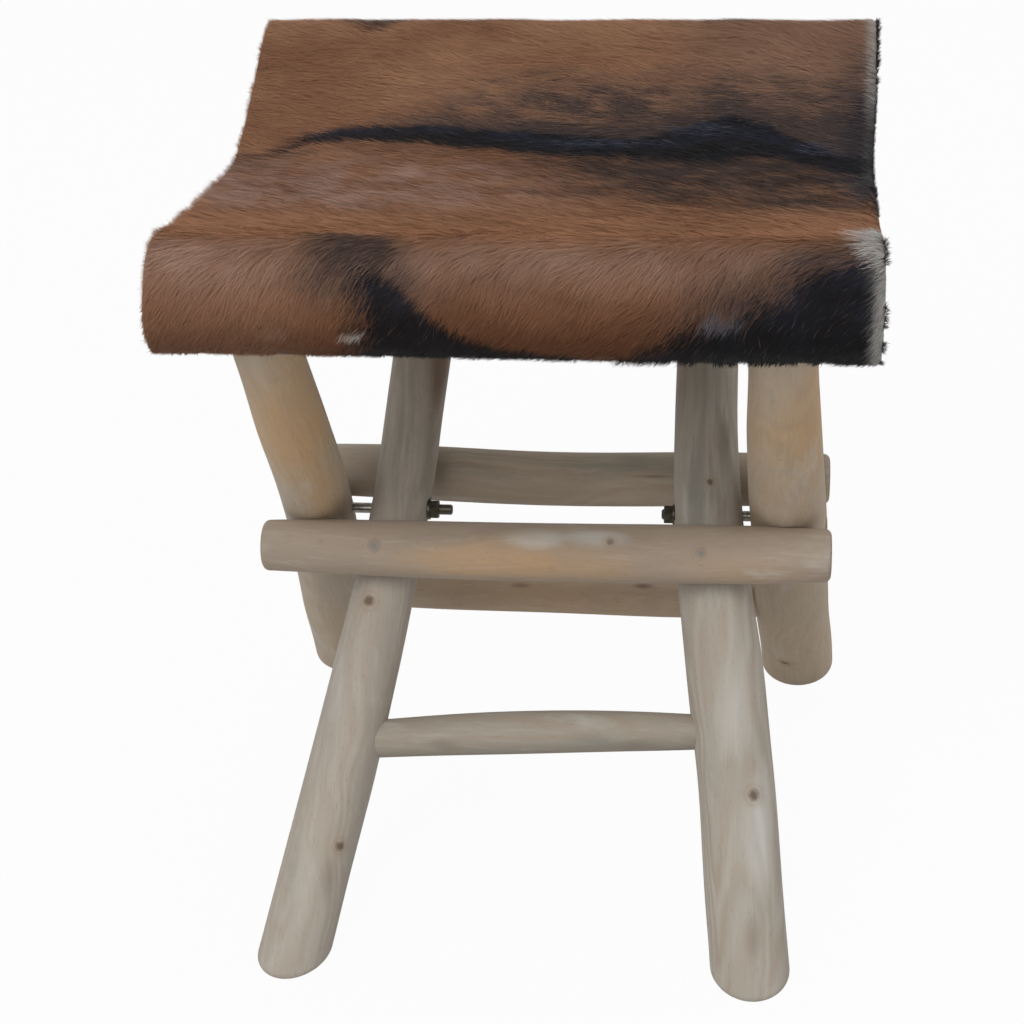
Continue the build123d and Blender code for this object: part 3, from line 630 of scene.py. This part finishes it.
def stripe_marks(lay):
    """The black stripe with its lump at the right and how far a place is above its middle, the
    smoke about it, the mottled zone below it at the right, and the haze below it at the left."""
    x, s, fleck, streak = lay.x, lay.s, lay.fleck, lay.streak
    middle = lay.from_left(
        (-160, 279), (-138, 294), (-116, 301), (-71, 299.5), (-31, 295), (2, 292), (24, 289),
        (46, 288), (68, 291), (97, 298), (115, 295), (133, 287), (154, 272), (170, 268),
    )
    half = lay.from_left(
        (-164, 0), (-150, 1.6), (-116, 5.2), (-71, 7.0), (-31, 7.6), (24, 8), (50, 8.8), (70, 13.5),
        (92, 18.5), (108, 14), (120, 10.5), (140, 9), (160, 12),
    )
    off = s - middle
    stripe = (half - abs(off) + (fleck - 0.5) * 9).rise(-4.0, 2.0)
    haze = (half + 15 - off).rise(-4, 14) * off.rise(-2, 6) * x.rise(-135, -60) * x.rise(175, 150)
    above = x.rise(-110, 0) * x.rise(190, 140) * s.rise(366, 326) * s.rise(284, 296)
    smoke = haze * 0.5 + above * (0.36 + fleck.rise(0.40, 0.62) * 0.45 + (streak - 0.5) * 0.9)
    smoke = smoke + spot((x, s), 36, 326, 15, 8) * 0.5 + spot((x, s), 150, 300, 18, 18) * 0.7
    mottle = x.rise(-50, 35) * (s + x.rise(50, 120) * 18).rise(174, 212) * s.rise(302, 288)
    mottle = mottle * (
        fleck.rise(0.36, 0.60) * 0.5 + s.rise(215, 270) * 0.34 + x.rise(0, 60) * 0.30
        + (streak - 0.5) * 0.8
    )
    below = x.rise(-30, -90) * (middle - s).rise(-2, 6) * (middle - s).rise(34, 8)
    return stripe, off, smoke, mottle, below


def roll_marks(lay):
    """The black patch at the left of the front roll, what darkens above it and its haze, and the
    patch at the right and its haze."""
    x, s, clump = lay.x, lay.s, lay.clump
    ragged = (clump - 0.5) * 10
    left_side = lay.from_front(
        (0, -80), (16, -74), (25, -71), (44, -69), (59, -73), (72, -82), (84, -90)
    )
    right_side = lay.from_front(
        (0, 46), (8, 34), (14, 16), (19, -7), (24, -20),
        (31, -33), (42, -43), (53, -53), (64, -61), (84, -67),
    )
    left_patch = (x - left_side + ragged).rise(-16, 6) * (right_side - x + ragged).rise(-7, 10)
    left_patch = left_patch * s.rise(74, 52)
    left_top = x.rise(-102, -86) * x.rise(-54, -68) * s.rise(94, 80) * s.rise(54, 72)
    left_haze = x.rise(-114, -86) * (right_side + 13 - x).rise(-8, 12)
    left_haze = left_haze * s.rise(98, 80) * s.rise(36, 58)
    right_top = lay.from_left(
        (36, -6), (56, 14), (78, 30), (101, 37), (119, 48), (133, 60), (154, 65), (172, 70)
    )
    right_patch = (right_top - s + (clump - 0.5) * 14).rise(-16, 8)
    right_haze = (right_top + 26 - s + (lay.tone - 0.5) * 24).rise(-10, 18) * x.rise(52, 98)
    return left_patch, left_top, left_haze, right_patch, right_haze


def coat_material(name):
    """Short brown hair with black markings, drawn on the flat hide."""
    material, tree = new_material(name)
    lay = Lay(tree)
    x, s, place, by_hairs = lay.x, lay.s, lay.place, lay.by_hairs
    fleck, streak, first, second = lay.fleck, lay.streak, lay.first, lay.second
    stripe, off, smoke, mottle, below = stripe_marks(lay)
    left_patch, left_top, left_haze, right_patch, right_haze = roll_marks(lay)
    right_zone = x.rise(149, 166) * s.rise(184, 214)
    right_zone = right_zone * (s.rise(352, 314) * 0.65 + s.rise(388, 352) * 0.35)
    torn = x + (lay.clump - 0.5) * 26, s + (fleck - 0.5) * 26
    tufts = spot(torn, -110, 408, 22, 22) + spot(torn, 94, 412, 22, 16) * 0.9
    tufts = tufts + spot(torn, 24, 482, 90, 24) + spot(torn, -168, 452, 26, 16) * 0.8
    colour = layered(
        brown_hair(lay),
        (mottle * 0.65, (84, 65, 56)),
        (by_hairs(mottle) * 0.85, (42, 32, 30)),
        (below * (0.16 + fleck.rise(0.4, 0.6) * 0.32), (92, 73, 64)),
        (smoke.clamp() * 0.7, (94, 79, 75)),
        (by_hairs(smoke) * 0.8, (60, 50, 49)),
        (right_haze * 0.58, (90, 71, 64)),
        (by_hairs(right_haze * 0.54) * 0.75, (50, 42, 41)),
        (left_haze * 0.5, (84, 68, 62)),
        (by_hairs(left_haze * 0.4 + left_top * 0.38) * 0.8, (46, 37, 38)),
        (right_zone * 0.55, (82, 74, 72)),
        (by_hairs(right_zone * 0.9) * 0.88, (34, 34, 42)),
        (by_hairs(tufts.clamp() * 0.8) * 0.85, (40, 31, 32)),
    )

    black = maths("MAXIMUM", stripe, maths("MAXIMUM", left_patch, right_patch))
    # a painted bluish sheen on the black hair, less on the stripe's lower half
    bluish_sheen = fleck.rise(0.40, 0.62) * s.rise(26, 50)
    bluish_sheen = bluish_sheen * (1 - s.rise(180, 200) * off.rise(3, -5) * 0.8)
    black_tone = layered(
        mixed(streak.rise(0.45, 0.7), srgb(5, 6, 10), srgb(16, 17, 24)),
        (bluish_sheen * (0.4 + second * 0.5), (34, 38, 52)),
    )
    colour = mixed(by_hairs(black, 0.7) * 0.97, colour, black_tone)

    # the painted bluish sheen on the stripe, a painted sheen spot on the right patch, the small
    # pale spots, the pale corner and right edge, and the fringe
    # painted bluish-grey sheen along the stripe and its lump
    painted_sheen = spot(place, 78, 304, 20, 5) + spot(place, 143, 290, 12, 7) * 0.9
    painted_sheen = painted_sheen + spot(place, 24, 293, 44, 3.5) * 0.8
    white_place = x * 0.4 + place[0] * 0.6, place[1]
    edge = lay.from_front(
        (0, 167.4), (86, 167.8), (171, 169.6), (286, 172.6),
        (334, 175.6), (390, 177.2), (480, 177.4),
    )
    near = (edge - lay.flat_x + (first - 0.5) * 3).rise(8.0, 2.0) * (
        s.rise(104, 88) + s.rise(215, 250) * 0.12 + s.rise(300, 345) * 0.84
    )
    colour = layered(
        colour,
        (by_hairs(painted_sheen * 0.5) * 0.55, (78, 84, 104)),
        # a painted sheen spot on the right black patch
        (by_hairs(spot(place, 93, 36, 10, 5) * 0.6) * 0.7, (100, 102, 110)),
        (by_hairs(spot(white_place, -78, 26, 5.4, 2.2) * 0.9) * 0.85, (190, 180, 170)),
        (by_hairs(spot(place, -113, 27, 7, 5) * 0.45) * 0.5, (150, 122, 104)),
        (by_hairs(spot((x, s), 168, 97, 17, 34) * 0.9, 0.6) * 0.92, (187, 184, 181)),
        (near * (0.42 + second * 0.55), (180, 177, 171)),
        (lay.fringe.rise(0.2, 0.8), (40, 35, 35)),
    )

    # each hair's own level, lighter towards its tip and along the front roll's crest as painted
    # light, with single pale hairs
    crest = s.rise(68, 80) * s.rise(112, 99)
    shade = first * 0.25 + second * 0.15 + lay.along * 0.30 + crest * 0.13 + 0.705
    tip = lay.along.rise(0.25, 1.0)
    smoky = (smoke + mottle * 0.6 + left_haze * 0.6 + right_haze * 0.4).clamp()
    colour = layered(
        vectors("MULTIPLY", colour, joined(shade, shade, shade)),
        ((first * second).rise(0.5, 0.7) * tip * smoky * (0.5 - black * 0.4), (146, 134, 129)),
        ((first * second).rise(0.78, 0.92) * tip * 0.5, (186, 158, 136)),
    )
    surface(
        tree,
        Base_Color=colour,
        Roughness=0.55 + second * 0.2,
        Specular_IOR_Level=0.17,
        Normal=bumped(streak, 0.3, 0.0006),
    )
    return material


def skin_material(name):
    """The pale flesh side and cut edge of the hide."""
    material, tree = new_material(name)
    here = on_object(tree)
    nap = noise(here, 700, 4, 0.7)
    cloud = noise(here, 45, 3, 0.6)
    colour = layered(
        mixed(cloud.rise(0.35, 0.7), srgb(176, 166, 152), srgb(146, 132, 114)),
        (nap.rise(0.45, 0.7) * 0.3, (120, 106, 90)),
    )
    surface(tree, Base_Color=colour, Roughness=0.85, Normal=bumped(nap, 0.4, 0.0004))
    return material


coat_finish, skin_finish = coat_material("hide_coat"), skin_material("hide_skin")


# ---------------------------------------------------------------- the hide
def hide_sheet():
    """The leather, with the coat's finish above and at three edges, and bare skin elsewhere."""
    wide, long = 96, 210
    last_column, last_row = wide - 1, long - 1
    hem_start, hem_wide = HIDE_LEFT + 0.0012, 0.346
    u, v = np.meshgrid(np.linspace(0, 1, wide), np.linspace(0, 1, long))
    x = hem_start + u * hem_wide
    s = hem_front(x) + (hem_back(x) - hem_front(x)) * v
    x = left_edge(s) + 0.0001 + u * (right_edge(s) - left_edge(s) - 0.0004)
    x, s = x.ravel(), s.ravel()
    top = on_hide(x, s, LEATHER_TOP + swollen(x, s))
    under = on_hide(x, s, np.full_like(x, LEATHER_BOTTOM))
    count = len(x)

    def point(column, row):
        return row * wide + column

    faces, finish_of = [], []
    for row in range(last_row):
        for column in range(last_column):
            a, b = point(column, row), point(column + 1, row)
            c, d = point(column + 1, row + 1), point(column, row + 1)
            faces += [(a, b, c, d), (a + count, d + count, c + count, b + count)]
            finish_of += [0, 1]
    front = [(point(column, 0), point(column + 1, 0)) for column in range(last_column)]
    right = [(point(last_column, row), point(last_column, row + 1)) for row in range(last_row)]
    back = [(point(column + 1, last_row), point(column, last_row)) for column in range(last_column)]
    left = [(point(0, row + 1), point(0, row)) for row in range(last_row)]
    faces += [(b, a, a + count, b + count) for a, b in front + right + back + left]
    finish_of += [0] * len(front) + [1] * len(right) + [0] * (len(back) + len(left))
    lay = np.stack([x, s, np.zeros_like(x)], 1)
    hair = np.tile((0.5, 0.5, 0.1), (2 * count, 1))
    attributes = {"lay": np.vstack([lay, lay]), "hair": hair}
    points = np.vstack([top, under]).tolist()
    return mesh_object("hide", points, faces, attributes, [coat_finish, skin_finish], finish_of)


def hair_way(x, s):
    """Which way the hair lies: the angle from -X towards the back."""
    front = -math.radians(60) * smooth((0.128 - s) / 0.075)
    back = math.radians(42) * smooth((s - (HIDE_LONG - 0.12)) / 0.09)
    return front + back + 0.2 * swirl.at(x, s) + 0.13 * ruffle.at(x, s)


def comb(name, roots, cells, draw, long, wide, lift, reach, way=None, tone=0.0):
    """Flat tapering hairs from their roots, each in its own cell of the baking map: two points at
    its root, two half way and one at its tip. long and wide are ranges, lift and reach how far
    tips stand off the coat and pass the hide's edges."""
    x, s = roots
    column, row, columns, rows = cells
    count = len(x)
    way = (hair_way(x, s) if way is None else way) + draw.normal(0, 0.10, count)
    curl = draw.normal(0, 0.13, count)
    long = draw.uniform(*long, count)
    across, along = -np.cos(way), np.sin(way)
    spare = reach[0] + (reach[1] - reach[0]) * draw.uniform(0, 1, count) ** 3
    low, high = hem_front(x) - spare, hem_back(x) + spare
    left, right = left_edge(s) - spare, right_edge(s) + spare
    gaps = ((-across, x - left), (across, right - x), (-along, s - low), (along, high - s))
    for step, gap in gaps:
        long = np.where(step > 1e-3, np.minimum(long, gap / np.maximum(step, 1e-3)), long)
    long = np.maximum(long, SHORTEST_HAIR)
    s = np.clip(s, low + 0.0004, high - 0.0004)
    half_wide = draw.uniform(*wide, count) / 2
    flatter = pressed(x, s)
    crest = np.exp(-(((s - 0.112) / 0.018) ** 2))
    stand = lift[0] + (lift[1] - lift[0]) * draw.uniform(0, 1, count)
    roll = draw.normal(0, 0.35, count)
    rise = swollen(x, s)
    points = np.zeros((count, 5, 3))
    stations = ((0.0, 0.0, 1.0), (0.5, 0.62, 0.85), (1.0, 1.0, None))
    for station, (share, up, narrow) in enumerate(stations):
        bent = way + curl * share
        place_x = x - np.cos(bent) * long * share
        place_s = s + np.sin(bent) * long * share
        height = HAIR_ROOT + rise + (stand - HAIR_ROOT) * up
        height = height * (1 - 0.5 * flatter) - 0.0009 * flatter - 0.0006 * crest * up
        if narrow is None:
            points[:, 4] = on_hide(place_x, place_s, height)
            continue
        half = half_wide * narrow
        side_x, side_s, tilt = np.sin(bent) * half, np.cos(bent) * half, np.sin(roll) * half
        points[:, station * 2] = on_hide(place_x + side_x, place_s + side_s, height + tilt)
        points[:, station * 2 + 1] = on_hide(place_x - side_x, place_s - side_s, height - tilt)
    first = np.arange(count)[:, None] * 5
    faces = np.concatenate([first + (1, 0, 3), first + (0, 2, 3), first + (3, 2, 4)], 1)
    faces = faces.reshape(-1, 3)
    middle_x, middle_s = x - np.cos(way) * long / 2, s + np.sin(way) * long / 2
    middle = np.stack([middle_x, middle_s, np.zeros(count) + tone], 1)
    hair = np.zeros((count, 5, 3))
    hair[:, :, 0:2] = draw.uniform(0, 1, (count, 2))[:, None, :]
    hair[:, :, 2] = (0, 0, 0.5, 0.5, 1)
    attributes = {"lay": np.repeat(middle, 5, axis=0), "hair": hair.reshape(-1, 3)}
    points = points.reshape(-1, 3).tolist()
    piece = mesh_object(name, points, faces.tolist(), attributes, [coat_finish])
    cell = np.array([(0.1, 0.1), (0.9, 0.1), (0.1, 0.5), (0.9, 0.5), (0.5, 0.9)])
    uv = (np.stack([column, row], 1)[:, None, :] + cell) / (columns, rows)
    layer = piece.data.uv_layers.new(name="OFBake")
    layer.data.foreach_set("uv", uv.reshape(-1, 2)[faces.ravel()].astype(np.float32).ravel())
    return piece


def coat(name, start, end, columns, rows, seed):
    """A close coat over a length of the hide, rooted on a jittered grid."""
    thinner = 1.0
    columns, rows = int(columns * thinner), int(rows * thinner)
    draw = np.random.default_rng(seed)
    column, row = [grid.ravel() for grid in np.meshgrid(np.arange(columns), np.arange(rows))]
    s = start + (end - start) * (row + draw.uniform(0, 1, len(row))) / rows
    wide = right_edge(s) - COAT_INSET - left_edge(s)
    x = left_edge(s) + wide * (column + draw.uniform(0, 1, len(row))) / columns
    return comb(
        name, (x, s), (column, row, columns, rows), draw,
        long=(0.0070, 0.0130), wide=(0.00015, 0.00027), lift=(-0.0010, 0.0006), reach=(0.0, 0.0010),
    )


def long_hairs(name, seed):
    """Longer hairs that stand off the coat all over, the tufts along the hide's edges, and the
    dark fringe and the neat hairs of its right edge."""
    draw = np.random.default_rng(seed)
    kinds = []

    def scattered(count, low, high):
        return low + (high - low) * draw.uniform(0, 1, count)

    def along_hide(count, low=0, high=HIDE_LONG):
        return scattered(int(count * (1.0)), low, high)

    def add(x, s, **look):
        kinds.append((x, s, look))

    # all over
    s = along_hide(30000, 0.001, HIDE_LONG - 0.001)
    x = scattered(len(s), HIDE_LEFT + 0.002, right_edge(s) - 0.001)
    add(
        x, s, long=(0.009, 0.018), wide=(0.00013, 0.00022),
        lift=(-0.0004, 0.0015), reach=(0.0, 0.0016),
    )
    # the front hem's tufts
    x = along_hide(6000, HIDE_LEFT, HIDE_FRONT_RIGHT)
    x = x[ruffle.at(x, x * 0) > -0.5]
    s = hem_front(x) + scattered(len(x), 0, 0.011)
    add(
        x, s, long=(0.007, 0.013), wide=(0.00022, 0.00034),
        lift=(-0.0006, 0.0030), reach=(0.0, 0.0028),
    )
    # the left edge's tufts
    s = along_hide(2200)
    s = s[ruffle.at(s * 0, s) > -0.2]
    x = left_edge(s) + scattered(len(s), 0, 0.005)
    add(
        x, s, long=(0.004, 0.009), wide=(0.00022, 0.00034),
        lift=(-0.0010, 0.0020), reach=(0.0004, 0.0030),
    )
    # the dark fringe outside the right edge, at the front roll and behind the stripe
    s = along_hide(3600)
    at_roll = (ruffle.at(s * 0 + 0.3, s) > -0.3) & (s < 0.088)
    behind = (ruffle.at(s * 0 + 0.3, s) > -0.7) & (s > 0.343) & (s < 0.430)
    s = s[at_roll | behind]
    x = right_edge(s) - scattered(len(s), 0, 0.0016)
    way = math.pi + draw.normal(0, 0.5, len(s))
    add(
        x, s, way=way, tone=1.0, long=(0.0015, 0.0042), wide=(0.00022, 0.00036),
        lift=(-0.0016, 0.0016), reach=(0.002, 0.004),
    )
    # a thin broken fringe between them
    s = along_hide(2600, 0.165, 0.440)
    s = s[ruffle.at(s * 0 + 0.4, s) + (s - 0.2) * 12 > draw.normal(-0.2, 0.5, len(s))]
    x = right_edge(s) - scattered(len(s), 0, 0.0012)
    way = math.pi + draw.normal(0, 0.7, len(s))
    add(
        x, s, way=way, tone=1.0, long=(0.0008, 0.0022), wide=(0.00016, 0.00026),
        lift=(-0.0024, 0.0), reach=(0.0, 0.0009),
    )
    # neat hairs along the right edge
    s = along_hide(6500)
    x = right_edge(s) - scattered(len(s), 0, 0.0030)
    add(
        x, s, long=(0.003, 0.0070), wide=(0.0002, 0.00034),
        lift=(-0.0006, 0.0008), reach=(0.0, 0.001),
    )

    total = sum(len(x) for x, _, _ in kinds)
    side = math.ceil(math.sqrt(total))
    done, pieces = 0, []
    for number, (x, s, look) in enumerate(kinds):
        order = done + np.arange(len(x))
        done += len(x)
        cells = order % side, order // side, side, side
        pieces.append(comb(f"{name}_{number}", (x, s), cells, draw, **look))
    bpy.ops.object.select_all(action="DESELECT")
    for piece in pieces:
        piece.select_set(True)
    bpy.context.view_layer.objects.active = pieces[0]
    bpy.ops.object.join()
    pieces[0].name = pieces[0].data.name = name
    bpy.ops.object.select_all(action="DESELECT")
    return pieces[0]


hide = hide_sheet()
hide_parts("hide_seat")
coats = [
    coat("front_coat", COAT_INSET, SEAT_START, 420, 155, seed=11),
    coat("seat_coat", SEAT_START, SEAT_END, 300, 215, seed=12),
    coat("back_coat", SEAT_END, HIDE_LONG - COAT_INSET, 420, 155, seed=13),
    long_hairs("long_hairs", seed=14),
]
for piece in [hide, *coats]:
    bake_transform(piece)


# ---------------------------------------------------------------- floor, light and camera
WHITE, FLOOR_GREY = (1, 1, 1, 1), (0.6, 0.6, 0.6, 1)
FLOOR_SIZE = 60
SOFT_LIGHT = 0.45
FLOOR_GLOW = 0.96  # the rest is the floor's own, for the shadow
LAMPS = (((-0.9, -2.0, 2.3), 1.6, 46), ((1.8, -1.2, 1.8), 2.0, 8), ((0.3, 1.4, 2.6), 2.0, 14))
LAMPS_AIM = (0, 0, 0.25)
CAMERA_PLACE = (0.09985, -1.10862, 0.88097)
CAMERA_RIGHT, CAMERA_DOWN = (0.9951, 0.0938, -0.0313), (0.0219, -0.5182, -0.8550)
LENS = 79.39  # millimetres, for a frame 36 wide


def seen_directly(tree):
    """1 for what the camera sees, straight or in metal or glass."""
    rays = ("Is Camera Ray", "Is Glossy Ray", "Is Transmission Ray")
    camera, glossy, through = (add_node(tree, "ShaderNodeLightPath", out=ray) for ray in rays)
    return maths("MAXIMUM", maths("MAXIMUM", camera, glossy), through)


def studio():
    bpy.ops.mesh.primitive_plane_add(size=FLOOR_SIZE, location=(0, 0, 0))
    floor = bpy.context.object
    floor.name = "floor"
    material, tree = new_material("pale_floor")
    plain = add_node(tree, "ShaderNodeBsdfDiffuse", {0: FLOOR_GREY})
    glow = add_node(tree, "ShaderNodeEmission", {0: WHITE, 1: 1.0})
    share = seen_directly(tree) * FLOOR_GLOW
    to_output(add_node(tree, "ShaderNodeMixShader", {0: share, 1: plain, 2: glow}))
    floor.data.materials.append(material)

    world = bpy.data.worlds.new("studio")
    bpy.context.scene.world = world
    world.use_nodes = True
    tree = world.node_tree
    tree.nodes.clear()
    soft = add_node(tree, "ShaderNodeBackground", {0: WHITE, 1: SOFT_LIGHT})
    white = add_node(tree, "ShaderNodeBackground", {0: WHITE, 1: 1.0})
    both = add_node(tree, "ShaderNodeMixShader", {0: seen_directly(tree), 1: soft, 2: white})
    to_output(both, "ShaderNodeOutputWorld")

    for place, size, power in LAMPS:
        bpy.ops.object.light_add(type="AREA", location=place)
        lamp = bpy.context.object
        lamp.data.shape = "SQUARE"
        lamp.data.size = size
        lamp.data.energy = power
        aim = Vector(LAMPS_AIM) - Vector(place)
        lamp.rotation_euler = aim.to_track_quat("-Z", "Y").to_euler()

    bpy.ops.object.camera_add()
    camera = bpy.context.object
    right, down = Vector(CAMERA_RIGHT).normalized(), Vector(CAMERA_DOWN).normalized()
    ahead = right.cross(down).normalized()
    down = ahead.cross(right).normalized()
    turn = Matrix((right, -down, -ahead)).transposed().to_4x4()
    camera.matrix_world = Matrix.Translation(CAMERA_PLACE) @ turn
    camera.data.sensor_fit = "HORIZONTAL"
    camera.data.sensor_width = 36
    camera.data.lens = LENS
    bpy.context.scene.camera = camera
    bpy.context.scene.view_settings.view_transform = "Standard"


studio()
